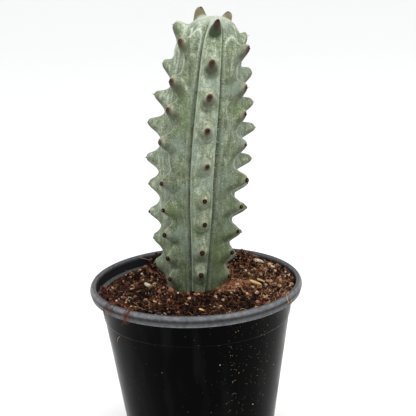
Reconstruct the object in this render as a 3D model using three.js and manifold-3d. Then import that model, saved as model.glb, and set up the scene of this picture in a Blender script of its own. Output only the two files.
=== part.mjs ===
// A potted columnar cactus: a ribbed stem with blunt teeth along its ribs, standing in potting
// mix in a moulded plastic nursery pot. Millimetres, +Z up. The origin is on the pot's axis, on
// the surface that the pot stands on. Bearings are degrees from the front (-Y), towards +X.
import * as THREE from 'three';
import { mergeVertices } from 'three/addons/utils/BufferGeometryUtils.js';
import Module from 'manifold-3d';

// Pot: a thin tapered shell with a foot ring, a band, and a collar rolled over at the lip.
const POT_HEIGHT = 140;
const LIP_RADIUS = 76;
const FOOT_RADIUS = 50;
const FOOT_RING = 4.6;
const FOOT_LIFT = 3;
const WALL = 1.5;
const BAND_RADIUS = 67.2;
const BAND_DROP = 24.2;
const COLLAR_DROP = 9.4;
const COLLAR_WALL_RADIUS = 69.3;
const COLLAR_INNER_RADIUS = 70.8;
const POT_SIDES = 64;
const DRAIN_HOLES = 6;
const DRAIN_RADIUS = 5;
const DRAIN_CIRCLE = 33;
const DRAIN_SIDES = 12;

// Soil: fills the pot to a little under the lip, higher on the right and round the stem.
const CLEARANCE = 0.35;
const SOIL_DROP = 6;
const SOIL_SLOPE = 2.2;
const SOIL_RINGS = 13;
const HEAPS = [
  { x: 29, y: -9, width: 11, height: 3.2 },
  { x: 36, y: 55, width: 10, height: 5.5 },
  { x: -44, y: 34, width: 20, height: -3 },
  { x: -20, y: -40, width: 16, height: -1.2 },
];

// Stem: its height above the soil, the girth of its ribs from foot to crown, and its lean.
const STEM_HEIGHT = 191;
const STEM_FOOT = 16;
const STEM_AT = { x: 1, y: 4 };
const LEAN = 0.037;
const BEND = 9.4;
const FOOT_GIRTH = 21.5;
const BELLY_GIRTH = 28.5;
const BELLY_HEIGHT = 105;
const CROWN_GIRTH = 20;
const GIRTH_ROUND = 1.65;
const BURIED_TAPER = 0.22;
const DOME_HEIGHT = 23;
const DOME_ROUND = 2.8;
const FURROW_SHARE = 0.6;
const RIB_ROUND = 4;
const CROWN_TWIST = 3;
const TWIST_FROM = 137;
const RIB_SWAY = 1.2;
const SWAY_PITCH = 19;

// Ribs: the bearing of each, and its teeth from the crown down. A tooth has the height of its tip
// above the soil, and how much longer than its neighbours it grew.
const RIBS = [
  {
    bearing: 6,
    teeth: [[190, 0], [164, 0], [142, 0], [120, 0], [95, 0], [72, 0], [55, 0], [34, 0], [17, 0]],
  },
  {
    bearing: 56,
    teeth: [
      [171, 1], [145, -1], [127, -2.5], [104, -2], [83, 1], [63, -0.5], [45, 0], [29, -2], [11, -1],
    ],
  },
  {
    bearing: 106,
    teeth: [
      [177, -2], [152, 0], [129, 0], [113, 1.5], [89, 0], [70, -1], [54, 1.5], [36, 0], [21, -0.5],
    ],
  },
  {
    bearing: 145,
    teeth: [
      [192, 0], [166, 0.5], [141, -1], [122, 0], [100, 1], [78, 0], [60, -1], [43, 0], [25, 0],
    ],
  },
  {
    bearing: 209,
    teeth: [
      [197, -4.5], [172, 0], [148, -1], [130, 0.5], [107, 0], [84, 1], [66, 0], [48, -1], [31, 0],
      [14, 0],
    ],
  },
  {
    bearing: 273,
    teeth: [
      [188, -1.5], [159, -2], [140, 0.5], [123, 1.5], [95, 0], [78, -1.5], [57, 0], [38, -0.5], [18, 1.5],
    ],
  },
  {
    bearing: 315,
    teeth: [
      [178, 0], [152, 0.5], [133, -1], [112, 2], [83, 0], [64, 0], [46, 0.5], [28, -0.5], [12, 0],
    ],
  },
];

// Teeth: how far they stand out of the rib and tilt up, low on the stem, at mid height and at the
// crown, and the spread of their roots across, above and below. Their tips are blunt.
const TOOTH_REACH = 9.8;
const LONGEST_AT = 90;
const LOW_LOSS = 6;
const HIGH_LOSS = 2.9;
const HIGH_SPAN = 70;
const TOP_LOSS = 1.4;
const TOP_FROM = 172;
const TOP_SPAN = 25;
const TOOTH_RISE = 2.5;
const CROWN_RISE = 7.5;
const RISE_FROM = 77;
const UPRIGHT_FROM = 185;
const UPRIGHT_RISE = 0.3;
const TOOTH_HALF_WIDTH = 5.8;
const TOOTH_ABOVE = 8;
const TOOTH_BELOW = 5.7;
const CROWN_SLIM = 0.25;
const SLIM_FROM = 150;
const SLIM_SPAN = 40;
const TOOTH_BLUNT = 0.5;
const TOOTH_POWER = 1.5;
const TIP_HALF_HEIGHT = 1.25;

const BURIED_ROWS = 2;
const FIRST_ROW = -2;
const STEM_ROWS = 66;
const DOME_ROWS = 10;
const RIB_PHASES = [-1, -0.84, -0.6, -0.37, -0.12, 0.12, 0.37, 0.6, 0.84];

const SOIL_LEVEL = POT_HEIGHT - SOIL_DROP;
const FLOOR_TOP = FOOT_LIFT + WALL;
const HOLE_RADIUS = FOOT_GIRTH + 3;

const wasm = await Module();
wasm.setup();

const clamp = (value, low, high) => Math.min(Math.max(value, low), high);
const radians = THREE.MathUtils.degToRad;

// Welds a geometry's vertices and drops the slivers that a lathe leaves on its axis.
function weld(geometry) {
  geometry.deleteAttribute('normal');
  geometry.deleteAttribute('uv');
  const merged = mergeVertices(geometry, 1e-4);
  const corners = Array.from(merged.index.array);
  const kept = [];
  for (let i = 0; i < corners.length; i += 3) {
    const [a, b, c] = corners.slice(i, i + 3);
    if (a !== b && b !== c && c !== a) kept.push(a, b, c);
  }
  merged.setIndex(kept);
  return merged;
}

function toSolid(geometry) {
  const welded = weld(geometry);
  return new wasm.Manifold(new wasm.Mesh({
    numProp: 3,
    vertProperties: new Float32Array(welded.attributes.position.array),
    triVerts: new Uint32Array(welded.index.array),
  }));
}

function toGeometry(solid) {
  const mesh = solid.getMesh();
  const geometry = new THREE.BufferGeometry();
  geometry.setAttribute('position', new THREE.BufferAttribute(mesh.vertProperties, 3));
  geometry.setIndex(new THREE.BufferAttribute(mesh.triVerts, 1));
  return geometry;
}

// Turns an outline of [radius, height] points, from the axis back to the axis, about +Z.
function lathe(outline) {
  const points = outline.map(([radius, height]) => new THREE.Vector2(radius, height));
  return new THREE.LatheGeometry(points, POT_SIDES).rotateX(Math.PI / 2);
}

// An upright round cutter, from one height to another.
function plug(x, y, radius, from, to, sides) {
  const cylinder = new THREE.CylinderGeometry(radius, radius, to - from, sides);
  return toSolid(cylinder.rotateX(Math.PI / 2).translate(x, y, (from + to) / 2));
}

function named(name, geometry, colour, roughness) {
  const material = new THREE.MeshStandardMaterial({ color: colour, roughness, metalness: 0 });
  const mesh = new THREE.Mesh(geometry, material);
  mesh.name = name;
  return mesh;
}

// The outer wall is straight from the foot to the band, so its inside follows it at WALL.
const bandHeight = POT_HEIGHT - BAND_DROP;
const ledgeHeight = POT_HEIGHT - COLLAR_DROP;
const innerFoot = FOOT_RADIUS - WALL;
const innerLedge = COLLAR_WALL_RADIUS - WALL;

function potOutline() {
  return [
    [0, FOOT_LIFT],
    [FOOT_RADIUS - FOOT_RING - 2.4, FOOT_LIFT],
    [FOOT_RADIUS - FOOT_RING - 1.4, 0],
    [FOOT_RADIUS - 1.4, 0],
    [FOOT_RADIUS, 1.4],
    [BAND_RADIUS - 0.6, bandHeight - 0.5],
    [BAND_RADIUS, bandHeight],
    [COLLAR_WALL_RADIUS, ledgeHeight],
    [LIP_RADIUS - 4, ledgeHeight + 0.8],
    [LIP_RADIUS - 1.8, ledgeHeight + 2],
    [LIP_RADIUS - 0.4, ledgeHeight + 3.8],
    [LIP_RADIUS, ledgeHeight + 5.4],
    [LIP_RADIUS - 0.3, ledgeHeight + 7.2],
    [LIP_RADIUS - 1.1, ledgeHeight + 8.6],
    [LIP_RADIUS - 2.4, POT_HEIGHT],
    [LIP_RADIUS - 3.6, POT_HEIGHT - 0.4],
    [LIP_RADIUS - 4.2, POT_HEIGHT - 1.6],
    [COLLAR_INNER_RADIUS, ledgeHeight + 0.6],
    [innerLedge, ledgeHeight],
    [BAND_RADIUS - 0.6 - WALL, bandHeight - 0.5],
    [innerFoot, FLOOR_TOP + 1.5],
    [innerFoot - 1.5, FLOOR_TOP],
    [0, FLOOR_TOP],
  ];
}

// The shell with its ring of drain holes cut through the floor.
function makePot() {
  let shell = toSolid(lathe(potOutline()));
  for (let i = 0; i < DRAIN_HOLES; i += 1) {
    const turn = (2 * Math.PI * (i + 0.5)) / DRAIN_HOLES;
    const x = DRAIN_CIRCLE * Math.cos(turn);
    const y = DRAIN_CIRCLE * Math.sin(turn);
    shell = shell.subtract(plug(x, y, DRAIN_RADIUS, 0, 2 * FLOOR_TOP, DRAIN_SIDES));
  }
  return named('pot', toGeometry(shell), '#1a1b1d', 0.35);
}

// The height of the soil: a slope, named heaps and hollows, and crumbs as waves that cross.
function soilHeight(x, y) {
  let height = SOIL_LEVEL + (SOIL_SLOPE * x) / COLLAR_INNER_RADIUS;
  for (const heap of HEAPS) {
    const distance = Math.hypot(x - heap.x, y - heap.y) / heap.width;
    height += heap.height * Math.exp(-distance * distance);
  }
  const crumbs = Math.sin(0.61 * x + 0.27 * y) * Math.sin(0.52 * y - 0.33 * x + 1);
  return height + 0.9 * crumbs + 0.5 * Math.sin(1.1 * x - 0.9 * y);
}

// A plug that follows the inside of the pot, its top raised by soilHeight, with the stem's hole.
function makeSoil() {
  const edge = innerLedge - CLEARANCE;
  const floor = FLOOR_TOP + CLEARANCE;
  const outline = [
    [0, floor],
    [innerFoot - 1.5 - CLEARANCE, floor],
    [innerFoot - CLEARANCE, floor + 1.5],
    [BAND_RADIUS - 0.6 - WALL - CLEARANCE, bandHeight - 0.5],
    [edge, ledgeHeight - CLEARANCE],
  ];
  for (let ring = 0; ring <= SOIL_RINGS; ring += 1) {
    outline.push([edge * (1 - ring / SOIL_RINGS), SOIL_LEVEL]);
  }
  const body = weld(lathe(outline));
  const points = body.attributes.position;
  for (let i = 0; i < points.count; i += 1) {
    const x = points.getX(i);
    const y = points.getY(i);
    if (points.getZ(i) > ledgeHeight) points.setZ(i, soilHeight(x, y));
  }
  const holeFloor = SOIL_LEVEL - STEM_FOOT - CLEARANCE;
  const hole = plug(STEM_AT.x, STEM_AT.y, HOLE_RADIUS, holeFloor, POT_HEIGHT + 20, POT_SIDES / 2);
  return named('soil', toGeometry(toSolid(body).subtract(hole)), '#3a2419', 0.95);
}

// The radius of the rib crests, and the line of the stem's core, at a height above the soil.
function crestRadius(height) {
  const span = height < BELLY_HEIGHT ? BELLY_HEIGHT : STEM_HEIGHT - BELLY_HEIGHT;
  const end = height < BELLY_HEIGHT ? FOOT_GIRTH : CROWN_GIRTH;
  const away = Math.min(Math.abs(height - BELLY_HEIGHT) / span, 1);
  const girth = BELLY_GIRTH - (BELLY_GIRTH - end) * away ** GIRTH_ROUND;
  const up = clamp((height - STEM_HEIGHT + DOME_HEIGHT) / DOME_HEIGHT, 0, 1);
  const dome = (1 - up ** DOME_ROUND) ** (1 / DOME_ROUND);
  const buried = clamp(-height / STEM_FOOT, 0, 1);
  return girth * dome * (1 - BURIED_TAPER * buried * buried);
}

function core(height) {
  const x = STEM_AT.x + LEAN * height + BEND * (Math.max(height, 0) / STEM_HEIGHT) ** 2;
  return new THREE.Vector3(x, STEM_AT.y, SOIL_LEVEL + height);
}

function outward(bearing) {
  return new THREE.Vector3(Math.sin(radians(bearing)), -Math.cos(radians(bearing)), 0);
}

// The ribs turn a little near the crown and sway a little on the way up.
function sway(height, rib) {
  const crown = clamp((height - TWIST_FROM) / (STEM_HEIGHT - TWIST_FROM), 0, 1);
  return CROWN_TWIST * crown * crown + RIB_SWAY * Math.sin(height / SWAY_PITCH + 1.9 * rib);
}

// How far a tooth whose tip is at this height stands out, and how far its tip is lifted.
function toothReach(tip) {
  const low = clamp((LONGEST_AT - tip) / LONGEST_AT, 0, 1);
  const high = clamp((tip - LONGEST_AT) / HIGH_SPAN, 0, 1);
  const top = clamp((tip - TOP_FROM) / TOP_SPAN, 0, 1);
  return TOOTH_REACH - LOW_LOSS * low ** 1.5 - HIGH_LOSS * high - TOP_LOSS * top;
}

function toothRise(tip) {
  const top = clamp((tip - RISE_FROM) / (STEM_HEIGHT - RISE_FROM), 0, 1);
  const upright = UPRIGHT_RISE * Math.max(tip - UPRIGHT_FROM, 0);
  return TOOTH_RISE + (CROWN_RISE - TOOTH_RISE) * top + upright;
}

// A nipple: 1 at the middle of its root, falling in a hollow curve to 0 at the root's edge.
function toothShape(across, along, tip) {
  const slim = 1 - CROWN_SLIM * clamp((tip - SLIM_FROM) / SLIM_SPAN, 0, 1);
  const wide = across / (TOOTH_HALF_WIDTH * slim);
  const long = along / ((along > 0 ? TOOTH_ABOVE : TOOTH_BELOW) * slim);
  return clamp(1 + TOOTH_BLUNT - Math.hypot(wide, long, TOOTH_BLUNT), 0, 1) ** TOOTH_POWER;
}

// A point of the stem's skin. The phase runs from -1 in one furrow over 0 on the crest to 1.
function stemPoint(height, rib, phase) {
  const here = RIBS[rib].bearing;
  const side = phase < 0 ? RIBS.length - 1 : 1;
  const next = RIBS[(rib + side) % RIBS.length].bearing;
  const gap = ((next - here) * Math.sign(phase) + 360) % 360;
  const turn = (phase * gap) / 2;
  const crest = crestRadius(height);
  const low = crest * FURROW_SHARE;
  const radius = low + (crest - low) * (1 - Math.abs(phase) ** RIB_ROUND);
  const swayed = here + sway(height, rib);
  const point = core(height).addScaledVector(outward(swayed + turn), radius);
  const across = radius * Math.sin(radians(turn));
  for (const [tip, extra] of RIBS[rib].teeth) {
    const rise = toothRise(tip);
    const root = tip - rise;
    const drop = crestRadius(root) - radius * Math.cos(radians(turn));
    const along = Math.hypot(height - root, drop) * (height > root ? 1 : -1);
    const shape = toothShape(across, along, tip);
    point.addScaledVector(outward(swayed), (toothReach(tip) + extra) * shape);
    point.z += rise * shape;
  }
  return point;
}

// The rows of the skin: a few under the soil, even up the stem, then closing over the dome.
function stemHeights() {
  const shoulder = STEM_HEIGHT - DOME_HEIGHT;
  const heights = [];
  for (let row = 0; row < BURIED_ROWS; row += 1) {
    heights.push(-STEM_FOOT * (1 - row / BURIED_ROWS));
  }
  for (let row = 0; row < STEM_ROWS; row += 1) {
    heights.push(FIRST_ROW + ((shoulder - FIRST_ROW) * row) / STEM_ROWS);
  }
  for (let row = 0; row < DOME_ROWS; row += 1) {
    heights.push(shoulder + DOME_HEIGHT * Math.sin((Math.PI / 2) * (row / DOME_ROWS)));
  }
  return heights;
}

// How far each row moves on a rib's crest, so that two rows frame the blunt tip of every tooth.
function rowShifts(heights, teeth) {
  const shifts = heights.map(() => 0);
  for (const [tip] of teeth) {
    const root = tip - toothRise(tip);
    const above = heights.findIndex((height) => height > root);
    shifts[above - 1] = root - TIP_HALF_HEIGHT - heights[above - 1];
    shifts[above] = root + TIP_HALF_HEIGHT - heights[above];
  }
  return shifts;
}

// The skin as rings of columns, closed by a fan under the foot and a fan at the growing point.
function makeCactus() {
  const heights = stemHeights();
  const shifts = RIBS.map((rib) => rowShifts(heights, rib.teeth));
  const columns = RIBS.length * RIB_PHASES.length;
  const points = [];
  for (let row = 0; row < heights.length; row += 1) {
    for (let rib = 0; rib < RIBS.length; rib += 1) {
      for (const phase of RIB_PHASES) {
        const height = heights[row] + shifts[rib][row] * (1 - Math.abs(phase));
        points.push(...stemPoint(height, rib, phase).toArray());
      }
    }
  }
  const triangles = [];
  for (let row = 0; row + 1 < heights.length; row += 1) {
    for (let column = 0; column < columns; column += 1) {
      const a = row * columns + column;
      const b = row * columns + ((column + 1) % columns);
      triangles.push(a, b, b + columns, a, b + columns, a + columns);
    }
  }
  const foot = points.length / 3;
  const crown = foot + 1;
  points.push(...core(-STEM_FOOT).toArray(), ...core(STEM_HEIGHT).toArray());
  const last = (heights.length - 1) * columns;
  for (let column = 0; column < columns; column += 1) {
    const next = (column + 1) % columns;
    triangles.push(foot, next, column, crown, last + column, last + next);
  }
  const skin = new THREE.BufferGeometry();
  skin.setAttribute('position', new THREE.Float32BufferAttribute(points, 3));
  skin.setIndex(triangles);
  return named('cactus', skin, '#8aa391', 0.6);
}

const group = new THREE.Group();
group.add(makePot(), makeSoil(), makeCactus());

export default group;
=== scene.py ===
import math

import bmesh
import bpy
import numpy as np
from mathutils import Matrix, Vector, noise


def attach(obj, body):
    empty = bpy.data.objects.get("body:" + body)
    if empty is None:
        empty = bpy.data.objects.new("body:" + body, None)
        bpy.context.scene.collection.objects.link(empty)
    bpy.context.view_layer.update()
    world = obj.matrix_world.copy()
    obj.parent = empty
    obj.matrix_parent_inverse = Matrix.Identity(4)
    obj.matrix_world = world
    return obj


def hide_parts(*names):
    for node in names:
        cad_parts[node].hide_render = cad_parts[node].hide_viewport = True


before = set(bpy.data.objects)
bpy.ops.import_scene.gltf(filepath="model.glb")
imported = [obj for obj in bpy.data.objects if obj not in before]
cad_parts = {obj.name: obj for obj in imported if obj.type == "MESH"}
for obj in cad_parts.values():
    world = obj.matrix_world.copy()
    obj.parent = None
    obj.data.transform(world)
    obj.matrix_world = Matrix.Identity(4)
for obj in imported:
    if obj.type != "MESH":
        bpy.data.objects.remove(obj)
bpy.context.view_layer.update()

# Camera
# A long lens a little above the pot, 0.78 m away, looking down at 15 degrees. The camera is rolled
# by 2 degrees, so the pot leans a little to the left in the frame as it does in the photograph.
CAMERA_AT = Vector((0.0, -0.6797, 0.3790))
CAMERA_AIM = Vector((0.0104, 0.0, 0.1920))
CAMERA_ROLL = math.radians(-1.96)
LENS_MM = 86.5
SENSOR_MM = 36.0

camera_data = bpy.data.cameras.new("camera")
camera_data.lens = LENS_MM
camera_data.sensor_width = SENSOR_MM
camera_data.clip_end = 100
camera = bpy.data.objects.new("camera", camera_data)
aim = (CAMERA_AIM - CAMERA_AT).to_track_quat("-Z", "Y").to_matrix()
turned = aim @ Matrix.Rotation(CAMERA_ROLL, 3, "Z")
camera.matrix_world = Matrix.Translation(CAMERA_AT) @ turned.to_4x4()
scene = bpy.context.scene
scene.collection.objects.link(camera)
scene.camera = camera
scene.view_settings.view_transform = "Standard"


# Studio
# A plain pale floor under soft light: one large softbox over the plant, a weaker one from the
# left, and a pale room.
def linear(hex_colour):
    """The linear RGBA colour of an sRGB hex value."""
    parts = [int(hex_colour[i:i + 2], 16) / 255 for i in (1, 3, 5)]
    return [c / 12.92 if c <= 0.04045 else ((c + 0.055) / 1.055) ** 2.4 for c in parts] + [1.0]


def add_node(tree, kind, inputs=None, ramp=None, **settings):
    """Adds one shader node with its settings, its ramp colours, and its linked or fixed inputs."""
    made = tree.nodes.new("ShaderNode" + kind)
    for name, value in settings.items():
        setattr(made, name, value)
    for socket, value in (inputs or {}).items():
        if isinstance(value, bpy.types.NodeSocket):
            tree.links.new(value, made.inputs[socket])
        else:
            made.inputs[socket].default_value = value
    if ramp:
        stops = made.color_ramp.elements
        for position, _ in ramp[1:-1]:
            stops.new(position)
        for stop, (position, shade) in zip(stops, ramp):
            stop.position = position
            stop.color = linear(shade)
    return made


def new_material(name):
    """An empty material, its node tree, and the tree's output."""
    made = bpy.data.materials.new(name)
    made.use_nodes = True
    made.node_tree.nodes.clear()
    return made, made.node_tree, add_node(made.node_tree, "OutputMaterial")


def finish_material(tree, out, inputs):
    """Adds the surface of a material, with its values and links, and leads it to the output."""
    surface = add_node(tree, "BsdfPrincipled", inputs)
    tree.links.new(surface.outputs[0], out.inputs[0])


def new_piece(name, bm, material, smooth=True):
    """An object at the origin from a bmesh, with its material."""
    mesh = bpy.data.meshes.new(name)
    bm.to_mesh(mesh)
    bm.free()
    mesh.materials.append(material)
    mesh.polygons.foreach_set("use_smooth", [smooth] * len(mesh.polygons))
    piece = bpy.data.objects.new(name, mesh)
    scene.collection.objects.link(piece)
    return piece


def add_softbox(name, place, aim_at, size, power, tint):
    """A rectangular area light turned towards a point."""
    data = bpy.data.lights.new(name, "AREA")
    data.shape = "RECTANGLE"
    data.size, data.size_y = size
    data.energy = power
    data.color = linear(tint)[:3]
    light = bpy.data.objects.new(name, data)
    turn = (Vector(aim_at) - Vector(place)).to_track_quat("-Z", "Y").to_matrix()
    light.matrix_world = Matrix.Translation(place) @ turn.to_4x4()
    scene.collection.objects.link(light)


FLOOR_SIDE = 60.0
# Matt paint gives a plain white ground with a soft shadow and no reflection.
painted_floor, tree, out = new_material("matt_white_floor_paint")
finish_material(tree, out, {"Base Color": linear("#fcfcfb"), "Roughness": 0.9,
                            "Specular IOR Level": 0.1})
bm = bmesh.new()
bmesh.ops.create_grid(bm, x_segments=1, y_segments=1, size=FLOOR_SIDE / 2)
floor = new_piece("floor", bm, painted_floor, smooth=False)

PLANT_MIDDLE = (0.0, 0.0, 0.2)
add_softbox("softbox_over", (0.2, -0.5, 1.3), PLANT_MIDDLE, (1.2, 1.2), 12.0, "#fffdf8")
add_softbox("softbox_left", (-1.3, -0.5, 0.7), PLANT_MIDDLE, (0.9, 0.9), 2.0, "#f6f9ff")

room = bpy.data.worlds.new("pale_room")
room.use_nodes = True
room.node_tree.nodes["Background"].inputs["Color"].default_value = linear("#fbfcfd")
room.node_tree.nodes["Background"].inputs["Strength"].default_value = 1.0
scene.world = room


# Pot
# A 6-inch nursery pot, injection-moulded in black polypropylene. The lip is rolled over and dusty
# from use, the wall under it is glossy, and a fine step marks where the pots nest.
MM = 0.001
POT_HEIGHT = 140.0
LIP_RADIUS = 76.0
FOOT_RADIUS = 50.0
FOOT_LIFT = 3.0
WALL = 1.5
BAND_RADIUS = 67.2
BAND_HEIGHT = POT_HEIGHT - 24.2
LEDGE_RADIUS = 69.3
LEDGE_HEIGHT = POT_HEIGHT - 9.4
COLLAR_INNER_RADIUS = 70.8
POT_SIDES = 192
BEVEL = 0.45
DRAIN_HOLES = 6
DRAIN_RADIUS = 5.0
DRAIN_CIRCLE = 33.0

floor_top = FOOT_LIFT + WALL
pot_profile = [
    (0, FOOT_LIFT), (FOOT_RADIUS - 7, FOOT_LIFT), (FOOT_RADIUS - 6, 0), (FOOT_RADIUS - 1.4, 0),
    (FOOT_RADIUS, 1.4), (BAND_RADIUS - 0.6, BAND_HEIGHT - 0.7), (BAND_RADIUS, BAND_HEIGHT),
    (LEDGE_RADIUS, LEDGE_HEIGHT), (COLLAR_INNER_RADIUS + 1.4, LEDGE_HEIGHT + 0.5),
    (LIP_RADIUS - 3, LEDGE_HEIGHT + 1.3),
    (LIP_RADIUS - 1.3, LEDGE_HEIGHT + 1.5), (LIP_RADIUS - 0.8, LEDGE_HEIGHT + 2.0),
    (LIP_RADIUS - 1.2, LEDGE_HEIGHT + 2.8), (LIP_RADIUS - 0.4, LEDGE_HEIGHT + 4.0),
    (LIP_RADIUS, LEDGE_HEIGHT + 5.4), (LIP_RADIUS - 0.3, LEDGE_HEIGHT + 7.2),
    (LIP_RADIUS - 1.1, LEDGE_HEIGHT + 8.6), (LIP_RADIUS - 2.4, POT_HEIGHT),
    (LIP_RADIUS - 3.6, POT_HEIGHT - 0.4), (LIP_RADIUS - 4.2, POT_HEIGHT - 1.6),
    (COLLAR_INNER_RADIUS, LEDGE_HEIGHT + 0.6), (LEDGE_RADIUS - WALL, LEDGE_HEIGHT),
    (BAND_RADIUS - 0.6 - WALL, BAND_HEIGHT - 0.5), (FOOT_RADIUS - WALL, floor_top + 1.5),
    (FOOT_RADIUS - WALL - 1.5, floor_top), (0, floor_top),
]


def spin_profile(profile, sides):
    """A closed body turned about the Z axis from a profile of (radius, height) in millimetres."""
    bm = bmesh.new()
    corners = [bm.verts.new((radius * MM, 0, height * MM)) for radius, height in profile]
    lines = [bm.edges.new(pair) for pair in zip(corners, corners[1:])]
    bmesh.ops.spin(bm, geom=corners + lines, cent=(0, 0, 0), axis=(0, 0, 1),
                   angle=2 * math.pi, steps=sides, use_merge=True)
    bmesh.ops.remove_doubles(bm, verts=bm.verts, dist=1e-6)
    bmesh.ops.dissolve_degenerate(bm, edges=bm.edges, dist=1e-7)
    bmesh.ops.recalc_face_normals(bm, faces=bm.faces)
    return bm


def noise_at(tree, place, scale, detail=2.0, roughness=0.5):
    """The value of a noise texture at a place."""
    return add_node(tree, "TexNoise", {"Vector": place, "Scale": scale, "Detail": detail,
                                       "Roughness": roughness}).outputs["Fac"]


def ranged(tree, value, low, high, to_low=0.0, to_high=1.0):
    """A value stretched from one range to another, and kept inside it."""
    return add_node(tree, "MapRange", {"Value": value, "From Min": low, "From Max": high,
                                       "To Min": to_low, "To Max": to_high}).outputs[0]


def maths(tree, operation, *values):
    """The result of an operation on two or three values."""
    return add_node(tree, "Math", dict(enumerate(values)), operation=operation).outputs[0]


def multiplied(tree, colour, by):
    """A colour made darker or lighter by a value."""
    return add_node(tree, "VectorMath", {0: colour, 1: by}, operation="MULTIPLY").outputs[0]


def ramped(tree, value, ramp):
    """The colour that stands at a value on a ramp."""
    return add_node(tree, "ValToRGB", {0: value}, ramp=ramp).outputs[0]


def tint(tree, under, amount, over):
    """A colour, from a node or as a hex value, laid over another by an amount."""
    over = linear(over) if isinstance(over, str) else over
    return add_node(tree, "Mix", {0: amount, 6: under, 7: over}, data_type="RGBA").outputs[2]


def bumped(tree, height, strength, depth):
    """The normal of a relief with this depth in metres."""
    return add_node(tree, "Bump", {"Height": height, "Strength": strength,
                                   "Distance": depth}).outputs[0]


def attribute(tree, name):
    """The value of one of the mesh's own attributes."""
    return add_node(tree, "Attribute", attribute_name=name).outputs["Fac"]


bm = spin_profile(pot_profile, POT_SIDES)
rings = [e for e in bm.edges if abs(e.verts[0].co.z - e.verts[1].co.z) < 1e-7
         and abs(e.verts[0].co.xy.length - e.verts[1].co.xy.length) < 1e-6
         and e.calc_face_angle(0) > math.radians(5)]
bmesh.ops.bevel(bm, geom=rings, offset=BEVEL * MM, affect="EDGES", segments=2, profile=0.5,
                material=-1, clamp_overlap=True)

# Black polypropylene: a near-black wall with a soft sheen. The lip is grey with dust and wear,
# with a painted highlight and painted shade down its roll, and the thin ledge inside it is grey
# with dust and wear too, which gives the pot its pale rim against the dark soil.
moulded_pp, tree, out = new_material("moulded_black_polypropylene")
place = add_node(tree, "TexCoord").outputs["Object"]
axes = add_node(tree, "SeparateXYZ", {0: place})
flat = add_node(tree, "CombineXYZ", {"X": axes.outputs["X"], "Y": axes.outputs["Y"]}).outputs[0]
reach = add_node(tree, "VectorMath", {0: flat}, operation="LENGTH").outputs["Value"]
# The lip starts 9 mm under the rim, outside the collar, whose inner face is at 70.8 to 71.8 mm.
high = ranged(tree, axes.outputs["Z"], 0.1309, 0.1312)
wide = ranged(tree, reach, 0.0714, 0.0720)
on_lip = maths(tree, "MULTIPLY", high, wide)
above_ledge = ranged(tree, axes.outputs["Z"], 0.1303, 0.1305)
below_collar = ranged(tree, axes.outputs["Z"], 0.1312, 0.1316, 1.0, 0.0)
on_ledge = maths(tree, "MULTIPLY", above_ledge, below_collar)
grey = maths(tree, "MAXIMUM", on_lip, on_ledge)
# Smears about 16 mm across, and fine scuffs about 0.7 mm across.
smears = noise_at(tree, place, 60.0, 5.0, 0.65)
scuffs = noise_at(tree, place, 1400.0)
dust = ranged(tree, smears, 0.45, 0.75, 0.0, 0.12)
# Rubbing has left the lip mottled, in spots about 3 mm across.
rubbed = noise_at(tree, place, 330.0, 3.0, 0.6)
rubbed = ranged(tree, rubbed, 0.3, 0.7, 0.62, 1.38)
# Down the roll a painted highlight lies across its upper part and painted shade on its side, and
# the thin seam under it is paler, partly with dust and partly as a painted highlight.
roll = ranged(tree, axes.outputs["Z"], 0.1305, 0.1405)
shade = ramped(tree, roll, [(0.06, "#4a4b4c"), (0.18, "#6a6b6d"), (0.3, "#525355"),
                            (0.42, "#414244"), (0.52, "#2c2c2e"), (0.62, "#2c2c2e"),
                            (0.75, "#626366"), (0.88, "#66676b"), (0.94, "#3c3c3e"),
                            (1.0, "#2b2b2d")])
lip_grey = tint(tree, shade, dust, "#55565a")
lip_grey = multiplied(tree, lip_grey, rubbed)
# The collar's inner face is paler than the wall outside, and films of dust cling to it.
narrow = maths(tree, "SUBTRACT", 1.0, wide)
inside = maths(tree, "MULTIPLY", high, narrow)
# Faint pale streaks about 10 mm wide run up and down the wall outside: a painted reflection of
# soft light in the gloss.
drawn_upright = add_node(tree, "Mapping", {"Vector": place, "Scale": (1.0, 1.0, 0.15)}).outputs[0]
painted_reflection_streaks = noise_at(tree, drawn_upright, 100.0, 4.0)
painted_reflection_streaks = ranged(tree, painted_reflection_streaks, 0.5, 0.7, 0.0, 0.6)
outside = tint(tree, linear("#030304"), painted_reflection_streaks, "#111112")
wall = tint(tree, outside, inside, "#1f2023")
skin = tint(tree, wall, grey, lip_grey)
gloss = ranged(tree, smears, 0.3, 0.7, 0.16, 0.3)
rough = add_node(tree, "Mix", {0: grey, 2: gloss, 3: 0.38}).outputs[0]
sheen = add_node(tree, "Mix", {0: grey, 2: 0.018, 3: 0.12}).outputs[0]
relief = bumped(tree, scuffs, 0.12, 0.0002)
finish_material(tree, out, {"Base Color": skin, "Roughness": rough, "Specular IOR Level": sheen,
                            "Normal": relief})

pot = new_piece("pot_shell", bm, moulded_pp)
bm = bmesh.new()
for i in range(DRAIN_HOLES):
    turn = 2 * math.pi * (i + 0.5) / DRAIN_HOLES
    centre = Vector((math.cos(turn), math.sin(turn), 0)) * DRAIN_CIRCLE * MM
    bmesh.ops.create_cone(bm, cap_ends=True, segments=32, radius1=DRAIN_RADIUS * MM,
                          radius2=DRAIN_RADIUS * MM, depth=0.02, matrix=Matrix.Translation(centre))
drills = new_piece("drills", bm, moulded_pp)
cut = pot.modifiers.new("drain_holes", "BOOLEAN")
cut.object = drills
cut.solver = "EXACT"
bpy.context.view_layer.objects.active = pot
bpy.ops.object.modifier_apply(modifier=cut.name)
bpy.data.objects.remove(drills)
pot.data.set_sharp_from_angle(angle=math.radians(50))
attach(pot, "root")
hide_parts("pot")


# Bed of potting mix
# Peat and coir fill the pot to a little under the lip, lower at the back on the left, where the
# ledge shows, and heaped on the right. The stem stands in it, so the bed runs up to its skin.
CLEARANCE = 0.35
SOIL_LEVEL = 134.0
SOIL_SLOPE = 2.2
BED_RINGS = 90
BED_SIDES = 288
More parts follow.
